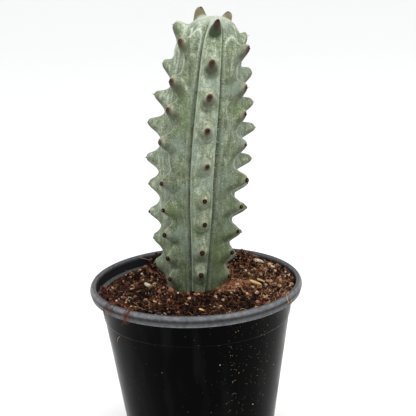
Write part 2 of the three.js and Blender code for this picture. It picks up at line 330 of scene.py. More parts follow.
# Heaps and hollows of the mix: x, y, width, and height.
HEAPS = [(29, -9, 11, 3.2), (36, 55, 10, 5.5), (-44, 34, 20, -3), (-20, -40, 16, -1.2),
         (-53, -40.5, 5, 4.5), (-42, -49, 5.5, 5), (-29, 63, 8, 6.5),
         (-23, -14, 7, 2.5), (-12, -24, 8, 3),
         (9, -34, 8, -1.5), (31, -44, 10, -1.8), (57, -20, 8, 1.5), (50, 14, 7, 1.5)]


def soil_height(x, y):
    """The height of the bed in millimetres: its slope, its heaps and hollows, and its crumbs."""
    height = SOIL_LEVEL + SOIL_SLOPE * x / COLLAR_INNER_RADIUS
    for heap_x, heap_y, width, rise in HEAPS:
        height = height + rise * np.exp(-((x - heap_x) ** 2 + (y - heap_y) ** 2) / width ** 2)
    crumbs = np.sin(0.61 * x + 0.27 * y) * np.sin(0.52 * y - 0.33 * x + 1)
    return height + 0.9 * crumbs + 0.5 * np.sin(1.1 * x - 0.9 * y)


bed_edge = LEDGE_RADIUS - WALL - CLEARANCE
bed_floor = floor_top + CLEARANCE
bed_profile = [(0, bed_floor), (FOOT_RADIUS - WALL - 1.5 - CLEARANCE, bed_floor),
               (FOOT_RADIUS - WALL - CLEARANCE, bed_floor + 1.5),
               (BAND_RADIUS - 0.6 - WALL - CLEARANCE, BAND_HEIGHT - 0.5),
               (bed_edge, LEDGE_HEIGHT - CLEARANCE)]
bed_profile += [(bed_edge * (1 - i / BED_RINGS), SOIL_LEVEL) for i in range(BED_RINGS + 1)]
bm = spin_profile(bed_profile, BED_SIDES)
for v in bm.verts:
    if v.co.z > LEDGE_HEIGHT * MM:
        x, y = v.co.x / MM, v.co.y / MM
        clod = noise.multi_fractal(Vector((x, y, 0)) * 0.28, 0.7, 2.1, 4) - 1
        grit = noise.noise(Vector((x, y, 3)) * 1.3)
        v.co.z = (soil_height(x, y) - 0.7 + 0.9 * clod + 0.35 * grit) * MM

# Damp peat: nearly black between its crumbs, with the faintest wet shine.
damp_peat, tree, out = new_material("damp_peat_and_coir")
place = add_node(tree, "TexCoord").outputs["Object"]
# Crumbs of peat are about 1.5 mm across, and patches of drier coir about 12 mm.
crumb = noise_at(tree, place, 650.0, 5.0, 0.65)
patch = noise_at(tree, place, 85.0)
peat = ramped(tree, crumb, [(0.3, "#070403"), (0.55, "#180c07"), (0.72, "#35190d")])
dry = ranged(tree, patch, 0.45, 0.7, 0.0, 0.45)
earth = tint(tree, peat, dry, "#382219")
relief = bumped(tree, crumb, 0.9, 0.001)
finish_material(tree, out, {"Base Color": earth, "Roughness": 0.85, "Normal": relief,
                            "Specular IOR Level": 0.12})
bed = new_piece("mix_bed", bm, damp_peat)
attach(bed, "root")
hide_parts("soil")


# Crumbs, perlite and chips
# Loose pieces that lie on the bed: crumbs of peat and coir up to 3.5 mm wide, white grains of
# puffed perlite, and a few tan chips of bark. Each is one small shape, copied and squashed.
STEM_AT, STEM_CLEAR = (1.0, 4.0), 20
REAR_HEAP, REAR_HEAP_WIDTH = (-29, 63), 8
BARE_REACH, COLLAR_REACH = 65.2, 69.9
# Places where the mix is paler or darker: x, y, width, and change of tone. The mound right of the
# stem is paler coir, two heaps are paler, and the hollows in front are darker.
TONE_SPOTS = [(24, -11, 8, 0.6), (57, -20, 9, 0.12), (50, 14, 8, 0.15), (-36, 18, 10, 0.12),
             (9, -34, 8, -0.4), (31, -44, 10, -0.4), (64, 17, 9, -0.25), (-40, -8, 7, -0.3),
             (-22, -44, 8, -0.25)]
CHIP_TILT = math.radians(24)
rng = np.random.default_rng(11)


def doubled(template, doublings):
    """Doubles a shape again and again, in a fresh bmesh, so that copy k follows copy k - 1."""
    mesh = bpy.data.meshes.new("template")
    template.to_mesh(mesh)
    template.free()
    bm = bmesh.new()
    bm.from_mesh(mesh)
    bpy.data.meshes.remove(mesh)
    for _ in range(doublings):
        bmesh.ops.duplicate(bm, geom=bm.verts[:] + bm.edges[:] + bm.faces[:])
    return bm


def many_balls(count):
    """A bmesh of many small balls of 20 faces each."""
    ball = bmesh.new()
    bmesh.ops.create_icosphere(ball, subdivisions=1, radius=1)
    return doubled(ball, int(math.log2(count)))


def copies_in(piece, count):
    """The corners of the copies in a piece: an array of copies, corners, and x, y and z."""
    coords = np.empty(len(piece.data.vertices) * 3)
    piece.data.vertices.foreach_get("co", coords)
    return coords.reshape(count, -1, 3)


def put_back(piece, coords, **values):
    """Writes corners in millimetres back to a piece, and a float attribute for each name."""
    piece.data.vertices.foreach_set("co", (coords * MM).ravel())
    for name, numbers in values.items():
        layer = piece.data.attributes.new(name, "FLOAT", "POINT")
        layer.data.foreach_set("value", np.ravel(numbers).astype(np.float32))
    piece.data.update()


def random_turns(count):
    """Rotation matrices drawn evenly from all directions."""
    quats = rng.normal(size=(count, 4))
    w, x, y, z = (quats / np.linalg.norm(quats, axis=1)[:, None]).T
    return np.stack([1 - 2 * (y * y + z * z), 2 * (x * y - z * w), 2 * (x * z + y * w),
                     2 * (x * y + z * w), 1 - 2 * (x * x + z * z), 2 * (y * z - x * w),
                     2 * (x * z - y * w), 2 * (y * z + x * w), 1 - 2 * (x * x + y * y)],
                    axis=1).reshape(count, 3, 3)


def on_the_bed(count):
    """Places in the pot, in millimetres: outside the stem, and out to the collar but for the
    back on the left, where the ledge stays bare."""
    places = []
    while len(places) < count:
        x, y = rng.uniform(-70, 70, 2)
        from_heap = math.hypot(x - REAR_HEAP[0], y - REAR_HEAP[1])
        bare = x < -5 and y > 12 and from_heap > REAR_HEAP_WIDTH
        reach = BARE_REACH if bare else COLLAR_REACH
        from_stem = math.hypot(x - STEM_AT[0], y - STEM_AT[1])
        if math.hypot(x, y) < reach and from_stem > STEM_CLEAR:
            places.append((x, y))
    return np.array(places)


def clod_lift(x, y):
    """How far a crumb is raised or sunk by the clod that it belongs to, in millimetres."""
    return 2.4 * noise.noise(Vector((x, y, 0)) * 0.19) + 1.7 * noise.noise(Vector((x, y, 9)) * 0.42)


def paleness(x, y):
    """How much paler the mix is at a place, or darker where its change of tone is below zero."""
    return sum(change * np.exp(-((x - spot_x) ** 2 + (y - spot_y) ** 2) / width ** 2)
               for spot_x, spot_y, width, change in TONE_SPOTS)


def lay_out(piece, places, sizes, roughen, tones, sink=0.0, level=0):
    """Moves each copy in a piece to its place on the bed, sized, made uneven and turned; the first
    few lie nearly level instead."""
    count = len(places)
    coords = copies_in(piece, count)
    coords = coords * (1 + roughen * rng.uniform(-1, 1, coords.shape[:2] + (1,)))
    coords = coords * sizes[:, None, :]
    turns = random_turns(count)
    turns[:level] = Matrix.Rotation(CHIP_TILT, 3, "Y")
    coords = np.einsum("nij,nkj->nki", turns, coords)
    x, y = places[:, 0], places[:, 1]
    out_of_bed = np.clip((np.hypot(x, y) - bed_edge) / 3, 0, 1)
    z = np.maximum(soil_height(x, y) - 0.4 * out_of_bed, LEDGE_HEIGHT + 1) - sink * sizes.min(1)
    lifts = np.array([clod_lift(*place) for place in places])
    lifts[:level] = np.maximum(lifts[:level], 0.6)
    z += lifts
    coords = coords + np.stack([x, y, z], 1)[:, None, :]
    put_back(piece, coords, tone=np.repeat(tones, coords.shape[1]))


# Crumbled peat and coir: dull, from nearly black to tan.
crumbly_coir, tree, out = new_material("crumbled_peat_and_coir")
tone = attribute(tree, "tone")
place = add_node(tree, "TexCoord").outputs["Object"]
# Fine crumb about 0.5 mm wide on each lump.
grain = noise_at(tree, place, 1800.0, 3.0)
brown = ramped(tree, tone, [(0.0, "#050303"), (0.32, "#180e09"), (0.58, "#452a1c"),
                            (0.82, "#8c6047"), (1.0, "#c8a587")])
shade = ranged(tree, grain, 0.3, 0.75, 0.55, 1.35)
varied = multiplied(tree, brown, shade)
relief = bumped(tree, grain, 0.8, 0.0006)
finish_material(tree, out, {"Base Color": varied, "Roughness": 0.88, "Normal": relief,
                            "Specular IOR Level": 0.12})

CRUMBS = 8192
WIDEST_CRUMB = 1.3
crumbs = new_piece("crumbs", many_balls(CRUMBS), crumbly_coir, smooth=False)
places = on_the_bed(CRUMBS)
widths = np.minimum(rng.gamma(1.7, 0.32, (CRUMBS, 1)) + 0.22, WIDEST_CRUMB)
sizes = widths * rng.uniform(0.25, 1.45, (CRUMBS, 3))
# The mix is paler on top of its clods and darker where they sink, paler to the right, and darkest
# in front.
patches = np.array([noise.noise(Vector((x, y, 5)) * 0.09) for x, y in places])
raised = np.array([clod_lift(*place) for place in places])
tones = rng.beta(1.3, 2.5, CRUMBS) + 0.2 * raised + 0.06 + paleness(*places.T) + 0.2 * patches
tones += 0.12 * np.clip(places[:, 0] / 40, 0, 1)
tones -= 0.27 * np.clip((-28 - places[:, 1]) / 16, 0, 1) * (np.abs(places[:, 0]) < 38)
lay_out(crumbs, places, sizes, 0.5, np.clip(tones, 0, 1), sink=-0.2)
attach(crumbs, "root")

# Perlite: dull white and stained, so that its grains stand out against the mix.
puffed_perlite, tree, out = new_material("puffed_perlite")
place = add_node(tree, "TexCoord").outputs["Object"]
# Perlite's open pores are about 0.3 mm wide, stained by peat.
pores = noise_at(tree, place, 2600.0)
stain = noise_at(tree, place, 500.0)
white = ramped(tree, stain, [(0.35, "#dcd6c6"), (0.52, "#c3b8a2"), (0.68, "#8f7a60")])
relief = bumped(tree, pores, 0.7, 0.0004)
finish_material(tree, out, {"Base Color": white, "Roughness": 0.7, "Normal": relief})

GRAINS = 256
perlite = new_piece("perlite", many_balls(GRAINS), puffed_perlite)
places = on_the_bed(GRAINS)
widths = rng.gamma(2.5, 0.11, (GRAINS, 1)) + 0.2
sizes = widths * rng.uniform(0.7, 1.2, (GRAINS, 3))
# Three long lumps lie where the photograph shows them.
places[:3] = (-34.7, 4), (48.8, 40.9), (57.6, 27.2)
sizes[:3] = (3.3, 2.1, 1.6), (4.6, 1.9, 1.5), (2.2, 1.3, 1.0)
lay_out(perlite, places, sizes, 0.25, rng.uniform(0, 1, GRAINS), sink=-1.0, level=3)
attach(perlite, "root")

# Split bark: tan, with a grain 0.7 mm wide, and the brightest brown in the mix.
split_bark, tree, out = new_material("split_bark_and_straw")
tone = attribute(tree, "tone")
place = add_node(tree, "TexCoord").outputs["Object"]
grain = noise_at(tree, place, 1500.0, 3.0)
tan = ramped(tree, tone, [(0.0, "#3c271b"), (0.5, "#7a563e"), (1.0, "#dfb777")])
shade = ranged(tree, grain, 0.3, 0.7, 0.7, 1.2)
varied = multiplied(tree, tan, shade)
finish_material(tree, out, {"Base Color": varied, "Roughness": 0.75})

bm = bmesh.new()
# A chip is a flat slat with its edges broken, narrower at one end.
bmesh.ops.create_cube(bm, size=2)
bmesh.ops.bevel(bm, geom=bm.edges[:], offset=0.35, affect="EDGES", segments=1, profile=0.5,
                material=-1)
for v in bm.verts:
    v.co.y *= 1 - 0.35 * v.co.x
CHIPS = 64
chips = new_piece("bark_chips", doubled(bm, int(math.log2(CHIPS))), split_bark, smooth=False)
places = on_the_bed(CHIPS)
# Five chips lie where the photograph shows them.
places[:5] = (42.3, -12), (46.5, -4.8), (-28.6, -29.8), (-7.3, -39.2), (3.9, -52.8)
lengths = rng.uniform(0.8, 2.0, (CHIPS, 1))
lengths[:5, 0] = 4.0, 3.0, 2.0, 1.5, 2.2
sizes = lengths * np.array([[1.0, 0.38, 0.16]]) * rng.uniform(0.8, 1.2, (CHIPS, 3))
tones = rng.uniform(0, 0.7, CHIPS)
tones[:5] = 0.85, 0.75, 0.85, 0.75, 0.9
lay_out(chips, places, sizes, 0.12, tones, sink=-3.0, level=5)
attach(chips, "root")


# Coir fibres
# Loose threads of coconut husk, 3 to 12 mm long and 0.15 to 0.4 mm thick: most lie in the bed, many
# in the dry mound right of the stem, and three tufts hang over the lip in front.
FIBRES = 2048
MOUND_FIBRES = 420
# Each tuft has its bearing in degrees from +X, its spread, and its number of threads.
TUFTS = [(218, 3.0, 12), (232, 2.4, 15), (325, 2.0, 5)]
# Two threads lie alone: a pale one on the bed behind the stem, and a curled hair on the wall.
PALE_THREAD = [(-42.6, 55.9, 139.0), (-40.1, 57.8, 137.6), (-37.2, 59.6, 136.2),
               (-34.0, 60.0, 134.2)]
WALL_HAIR = [(-53.7, -39.6, 113.8), (-55.0, -37.1, 111.8), (-56.0, -34.9, 109.3),
             (-55.7, -35.2, 108.1)]
FIBRE_SIDES, FIBRE_LENGTHS = 3, 8

# Husk fibre: red-brown, a little shiny, paler where it has dried out.
husk_fibre, tree, out = new_material("coconut_husk_fibre")
tone = attribute(tree, "tone")
brown = ramped(tree, tone, [(0.0, "#22120b"), (0.45, "#593222"), (0.8, "#a0603c"),
                            (1.0, "#d9b48c")])
finish_material(tree, out, {"Base Color": brown, "Roughness": 0.6, "Specular IOR Level": 0.2})


def new_threads(name, doublings, material):
    """A piece of many straight unit threads, each a thin prism cut across into short lengths."""
    bm = bmesh.new()
    bmesh.ops.create_cone(bm, cap_ends=True, segments=FIBRE_SIDES, radius1=1, radius2=1, depth=1,
                          matrix=Matrix.Translation((0, 0, 0.5)))
    for i in range(1, FIBRE_LENGTHS):
        bmesh.ops.bisect_plane(bm, geom=bm.verts[:] + bm.edges[:] + bm.faces[:],
                               plane_co=(0, 0, i / FIBRE_LENGTHS), plane_no=(0, 0, 1))
    return new_piece(name, doubled(bm, doublings), material)


def lay_threads(piece, knots, radii, tones):
    """Bends each thread through its four knots, in millimetres, thinner towards both ends."""
    count = len(knots)
    coords = copies_in(piece, count)
    t = coords[:, :, 2]

    # The cubic that passes through all four knots.
    def through(t):
        a, b, c, d = t, t - 1 / 3, t - 2 / 3, t - 1
        weights = np.stack([-4.5 * b * c * d, 13.5 * a * c * d, -13.5 * a * b * d,
                            4.5 * a * b * c], -1)
        return weights @ knots

    line = through(t)
    along = through(t + 0.02) - line
    along /= np.linalg.norm(along, axis=2)[:, :, None]
    across = np.cross(along, rng.normal(size=(count, 1, 3)))
    across /= np.linalg.norm(across, axis=2)[:, :, None]
    third = np.cross(along, across)
    thick = (radii[:, None] * (1 - 0.5 * (2 * t - 1) ** 2))[:, :, None]
    coords = line + thick * (coords[:, :, :1] * across + coords[:, :, 1:2] * third)
    put_back(piece, coords, tone=np.repeat(tones, coords.shape[1]))


fibres = new_threads("coir_fibres", int(math.log2(FIBRES)), husk_fibre)
starts = on_the_bed(FIBRES)
starts[:MOUND_FIBRES] = rng.normal((25, -10), (6.0, 4.0), (MOUND_FIBRES, 2))
headings = rng.uniform(0, 2 * math.pi, FIBRES)
lengths = rng.gamma(4.0, 1.2, FIBRES) + 1.5
knots = np.zeros((FIBRES, 4, 3))
# Threads drift from a straight line, stay inside the collar, and arch a little above the bed.
for i in range(4):
    drift = rng.normal(0, 0.14, (FIBRES, 2)) * lengths[:, None]
    knots[:, i, 0] = starts[:, 0] + np.cos(headings) * lengths * i / 3 + drift[:, 0]
    knots[:, i, 1] = starts[:, 1] + np.sin(headings) * lengths * i / 3 + drift[:, 1]
    out_by = np.hypot(knots[:, i, 0], knots[:, i, 1])
    knots[:, i, :2] *= np.minimum(1, 70.2 / out_by)[:, None]
    lift = np.abs(rng.normal(0.5, 0.5, FIBRES)) + (0.8 if i in (1, 2) else 0)
    knots[:, i, 2] = soil_height(knots[:, i, 0], knots[:, i, 1]) + lift
tones = np.clip(rng.beta(2, 2.2, FIBRES), 0, 1)
tones = np.clip(tones + 0.2 * (starts[:, 0] > 18) + paleness(*starts.T), 0, 1)
tones[:MOUND_FIBRES] = rng.uniform(0.45, 1.0, MOUND_FIBRES)
# A thread of a tuft starts in the mix, rises over the lip, and hangs down outside it.
last = MOUND_FIBRES
for bearing, spread, count in TUFTS:
    for k in range(last, last + count):
        at = np.radians(bearing + rng.normal(0, spread / 2) + rng.normal(0, 1.6, 4))
        radii = np.array([rng.uniform(64, 69), 72.4, 76.6, rng.uniform(75, 77.5)])
        heights = np.array([136, 140.6, rng.uniform(135, 138), rng.uniform(129, 136)])
        knots[k] = np.stack([radii * np.cos(at), radii * np.sin(at), heights], 1)
        tones[k] = rng.uniform(0.15, 0.65) + (0.3 if bearing > 300 else 0)
    last += count
thickness = rng.uniform(0.07, 0.15, FIBRES)
thickness[:MOUND_FIBRES] *= 1.3
thickness[MOUND_FIBRES:last] *= 1.4
knots[last:last + 2] = PALE_THREAD, WALL_HAIR
tones[last:last + 2] = 1.0
thickness[last:last + 2] = 0.22, 0.12
lay_threads(fibres, knots, thickness, tones)
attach(fibres, "root")


# Splashes on the wall
# Specks of dry mix that watering has thrown on the pot's wall, 0.1 to 0.6 mm wide, most of them in
# front on the right. Each is one small lump, pressed flat on the wall.
SPLASHES = 512
THICK_SHARE, THICK_BEARING, THICK_HEIGHT = 0.62, 305, 92

# Dried mud: dull, yellowish, and paler where it has dried thin.
dried_splash, tree, out = new_material("dried_mud_splash")
tone = attribute(tree, "tone")
mud = ramped(tree, tone, [(0.0, "#4a3d29"), (0.6, "#857350"), (1.0, "#ccb68a")])
finish_material(tree, out, {"Base Color": mud, "Roughness": 0.9, "Specular IOR Level": 0.1})

splashes = new_piece("splashes", many_balls(SPLASHES), dried_splash)
thick_side = rng.random(SPLASHES) < THICK_SHARE
bearings = np.radians(np.where(thick_side, rng.normal(THICK_BEARING, 17, SPLASHES),
                               rng.uniform(0, 360, SPLASHES)))
heights = np.where(thick_side, rng.normal(THICK_HEIGHT, 28, SPLASHES),
                   rng.uniform(10, 129, SPLASHES))
heights = np.clip(heights, 8, 129)
# The radius of the wall at each speck: on the tapered body, or on the steeper band above it.
body = FOOT_RADIUS + (BAND_RADIUS - 0.6 - FOOT_RADIUS) * (heights - 1.4) / (BAND_HEIGHT - 2.1)
band = BAND_RADIUS + (LEDGE_RADIUS - BAND_RADIUS) * (heights - BAND_HEIGHT) / (
    LEDGE_HEIGHT - BAND_HEIGHT)
wall = np.where(heights < BAND_HEIGHT, body, band)
widths = rng.gamma(1.3, 0.06, (SPLASHES, 1)) + 0.07
sizes = (widths * rng.uniform(0.7, 1.3, (SPLASHES, 3)) * (0.4, 1, 1))[:, None, :]
coords = copies_in(splashes, SPLASHES) * sizes
outwards = np.stack([np.cos(bearings), np.sin(bearings), np.zeros(SPLASHES)], 1)[:, None, :]
sideways = np.stack([-np.sin(bearings), np.cos(bearings), np.zeros(SPLASHES)], 1)[:, None, :]
coords = (outwards * (wall[:, None, None] + coords[:, :, :1]) + sideways * coords[:, :, 1:2]
          + np.array([0, 0, 1]) * (heights[:, None, None] + coords[:, :, 2:]))
put_back(splashes, coords, tone=np.repeat(rng.uniform(0, 1, SPLASHES), coords.shape[1]))
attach(splashes, "root")


# Cactus stem
# One grown piece: a fleshy ribbed column under a waxy skin. Rounded ribs meet in narrow furrows,
# and each carries a row of blunt nipples. A sphere of rings and columns is drawn out to its form.
STEM_HEIGHT = 191.0
STEM_FOOT = 16.0
LEAN = 0.037
BEND = 9.4
FOOT_GIRTH, BELLY_GIRTH, CROWN_GIRTH = 21.5, 28.5, 20.0
BELLY_HEIGHT = 105.0
GIRTH_ROUND = 1.65
BURIED_TAPER = 0.22
DOME_HEIGHT = 23.0
DOME_ROUND = 2.4
FURROW_SHARE = 0.76
RIB_ROUND = 6.0
CROWN_TWIST, FRONT_TWIST = 3.0, 9.0
TWIST_FROM = 137.0
RIB_SWAY = 1.2
SWAY_PITCH = 19.0
TOOTH_REACH = 9.8
LONGEST_AT = 90.0
LOW_LOSS, HIGH_LOSS, TOP_LOSS = 6.0, 2.9, 1.4
HIGH_SPAN = 70.0
TOP_FROM, TOP_SPAN = 172.0, 25.0
TOOTH_RISE, CROWN_RISE = 2.5, 7.5
RISE_FROM = 77.0
UPRIGHT_FROM, UPRIGHT_RISE = 185.0, 0.3
# Teeth turned aside from their rib, by rib and height, in degrees.
TOOTH_LEANS = {(0, 190): 13.0, (3, 192): -15.0, (0, 120): 4.0, (0, 96): 14.0, (0, 72): 8.0,
               (0, 55): 10.0}
TOOTH_HALF_WIDTH = 5.4
TOOTH_ABOVE, TOOTH_BELOW = 8.0, 5.7
TOOTH_EDGE, PLUMP_DROP = 1.45, 1.4
CREST_CROWDING = 0.6
BACK_CAP_LIFT = 3.8
CROWN_SLIM, SLIM_FROM, SLIM_SPAN = 0.25, 150.0, 40.0
COLUMNS_PER_RIB = 42
BURIED_ROWS, DOME_ROWS, STEM_ROWS = 5, 44, 300

# The bearing of each rib, in degrees from the front towards +X, and its teeth from the crown
# down: the height of each tip above the soil, and how much longer than its neighbours it grew.
RIBS = [
    (3.5, [(190, 0), (164, 0), (142, 0), (120, 0), (96, 0), (72, 0), (55, 0), (34, 0), (17, 0)]),
    (56, [(171, 2), (145, -1), (127, -2.5), (106, -2), (82, 1), (63, -0.5), (45, 0), (29, -2),
          (11, -1)]),
    (106, [(177, -2), (152, 0), (131, 0), (113, 1.5), (90.5, 0), (73, -1), (55, 1), (37.5, 0),
           (21, -0.5)]),
    (145, [(192, 0), (166, 0.5), (141, -1), (122, 0), (100, 1), (78, 0), (60, -1), (43, 0),
           (25, 0)]),
    (209, [(197, -4.5), (172, 0), (148, -1), (130, 0.5), (107, 0), (84, 1), (66, 0), (48, -1),
           (31, 0), (14, 0)]),
    (273, [(188, -1.5), (161, -2), (139.5, -0.5), (120.5, 1), (96, 0), (77, -1.5), (56.5, 0),
           (37, -0.5), (18, 1.5)]),
    (315, [(178, 0), (152, 0.5), (133, -1), (112, 2), (83, 0), (64, 0), (46, 0.5), (28, -0.5),
           (12, 0)]),
]


# For each rib: how far the furrow after it stands from halfway to the next, in degrees, how
# plump its teeth are, how brown their tips, how thick its wax, and how deep its crest sinks
# between the teeth, in millimetres, at the lower and the upper of two heights.
FURROW_SHIFT = [-6, 0, 0, 0, 0, 0, 3]
PLUMPNESS = [0.3, 0.4, 0.9, 1.2, 1.3, 0.0, 0.4]
BROWNNESS = [1.0, 0.9, 0.35, 0.6, 0.8, 0.15, 0.9]
WAXINESS = [1.0, 0.2, 0.45, 0.5, 0.5, 1.2, 0.25]
SADDLES = [(0.2, 0.2), (1.0, 1.0), (4.5, 2.5), (1.5, 1.5), (0.8, 0.8), (-0.9, 2.2), (0.4, 0.4)]
SADDLE_HEIGHTS = (100, 145)
SADDLE_SPAN = 4.5
# The furrows beside the front rib close in towards its foot, the top teeth of one rib are blunter
# than the rest of it, and one crest is full where two of its teeth stand far apart.
FOOT_SHIFT, SHIFT_FROM = 1.3, 60.0
PLUMP_RIB, PLUMP_TOP = 5, 1.0
FULL_CREST, FULL_AT, FULL_SPAN, FULL_BY = 6, 98.0, 9.0, 3.0


def crest_radius(height):
    """The radius of the rib crests at a height above the soil."""
    low = height < BELLY_HEIGHT
    span = np.where(low, BELLY_HEIGHT, STEM_HEIGHT - BELLY_HEIGHT)
    end = np.where(low, FOOT_GIRTH, CROWN_GIRTH)
    away = np.minimum(np.abs(height - BELLY_HEIGHT) / span, 1)
    girth = BELLY_GIRTH - (BELLY_GIRTH - end) * away ** GIRTH_ROUND
    up = np.clip((height - STEM_HEIGHT + DOME_HEIGHT) / DOME_HEIGHT, 0, 1)
    dome = np.maximum(1 - up ** DOME_ROUND, 0) ** (1 / DOME_ROUND)
    buried = np.clip(-height / STEM_FOOT, 0, 1)
    return girth * dome * (1 - BURIED_TAPER * buried ** 2)


def core_x(height):
    """The x of the stem's core at a height above the soil."""
    return STEM_AT[0] + LEAN * height + BEND * (np.maximum(height, 0) / STEM_HEIGHT) ** 2


def rib_bearing(height, rib):
    """The bearing of a rib's crest, in radians: it turns at the crown and sways on the way up."""
    crown = np.clip((height - TWIST_FROM) / (STEM_HEIGHT - TWIST_FROM), 0, 1)
    twist = FRONT_TWIST * crown ** 4 if rib == 0 else CROWN_TWIST * crown ** 2
    sway = RIB_SWAY * np.sin(height / SWAY_PITCH + 1.9 * rib)
    return np.radians(RIBS[rib][0] + twist + sway)


def tooth_reach(tip):
    """How far a tooth with its tip at this height stands out of the rib."""
    low = np.clip((LONGEST_AT - tip) / LONGEST_AT, 0, 1)
    high = np.clip((tip - LONGEST_AT) / HIGH_SPAN, 0, 1)
    top = np.clip((tip - TOP_FROM) / TOP_SPAN, 0, 1)
    return TOOTH_REACH - LOW_LOSS * low ** 1.5 - HIGH_LOSS * high - TOP_LOSS * top


def tooth_rise(tip):
    """How far a tooth's tip is lifted above the middle of its root."""
    top = np.clip((tip - RISE_FROM) / (STEM_HEIGHT - RISE_FROM), 0, 1)
    upright = UPRIGHT_RISE * max(tip - UPRIGHT_FROM, 0)
    return TOOTH_RISE + (CROWN_RISE - TOOTH_RISE) * top + upright


def tooth_lean(rib, tip):
    """How far a tooth is turned aside from its rib, in radians."""
    return math.radians(TOOTH_LEANS.get((rib, tip), 0.0))


def plumpness(rib, tip):
    """How plump a tooth is: as its rib, but for the blunt top of the left-hand row."""
    return PLUMPNESS[rib] + PLUMP_TOP * min(max((tip - 150) / 30, 0), 1) * (rib == PLUMP_RIB)


def tooth_shape(across, along, tip, plump):
    """A nipple: 1 over its blunt end, falling in an S curve to 0 at the edge of its root."""
    slim = 1 - CROWN_SLIM * np.clip((tip - SLIM_FROM) / SLIM_SPAN, 0, 1)
    wide = across / (TOOTH_HALF_WIDTH * slim)
    long = along / (np.where(along > 0, TOOTH_ABOVE, TOOTH_BELOW) * slim)
    waist = 0.74 + 0.18 * plump
    steepness = 3.2 + 1.6 * plump
    fall = 1 / (1 + (np.hypot(wide, long) / waist) ** steepness)
    least = 1 / (1 + (TOOTH_EDGE / waist) ** steepness)
    return np.clip((fall - least) / (1 - least), 0, 1)


# The rows of the sphere stand for heights: close together over the dome, even below it.
shoulder = STEM_HEIGHT - DOME_HEIGHT
row_heights = np.concatenate([
    [-STEM_FOOT], np.linspace(-STEM_FOOT, -2, BURIED_ROWS, endpoint=False),
    np.linspace(-2, shoulder, STEM_ROWS - BURIED_ROWS - DOME_ROWS - 1, endpoint=False),
    shoulder + DOME_HEIGHT * np.sin(np.pi / 2 * np.arange(DOME_ROWS + 1) / DOME_ROWS)])
columns = COLUMNS_PER_RIB * len(RIBS)
bm = bmesh.new()
bmesh.ops.create_uvsphere(bm, u_segments=columns, v_segments=STEM_ROWS, radius=1)

# Waxy skin: dull blue-green with pale streaks of wax and pale lines along the ribs that are partly
# wax and partly painted sheen, and a little light inside it.
waxy_skin, tree, out = new_material("waxy_cactus_skin")
stem = new_piece("stem", bm, waxy_skin)
sphere = copies_in(stem, 1)[0]
rows = np.rint((np.arcsin(np.clip(sphere[:, 2], -1, 1)) / np.pi + 0.5) * STEM_ROWS).astype(int)
turns = np.arctan2(sphere[:, 1], sphere[:, 0]) / (2 * np.pi) * columns
column = np.rint(turns).astype(int) % columns
height = row_heights[rows]
rib_of = column // COLUMNS_PER_RIB
phase = 2 * (column % COLUMNS_PER_RIB) / COLUMNS_PER_RIB - 1
phase *= CREST_CROWDING + (1 - CREST_CROWDING) * phase ** 2
# The section of the ribs: nearly flat over the crest, and falling to the furrows on both sides.
crest = crest_radius(height)
low = crest * FURROW_SHARE
radius = (low + (crest - low) * (1 - np.abs(phase) ** RIB_ROUND)) * (rows > 0)
skin_points = np.zeros_like(sphere)
MARKS = ("cap", "tip", "under", "crease_shade", "deep", "flush", "tan")
marks = {name: np.zeros(len(sphere)) for name in MARKS}
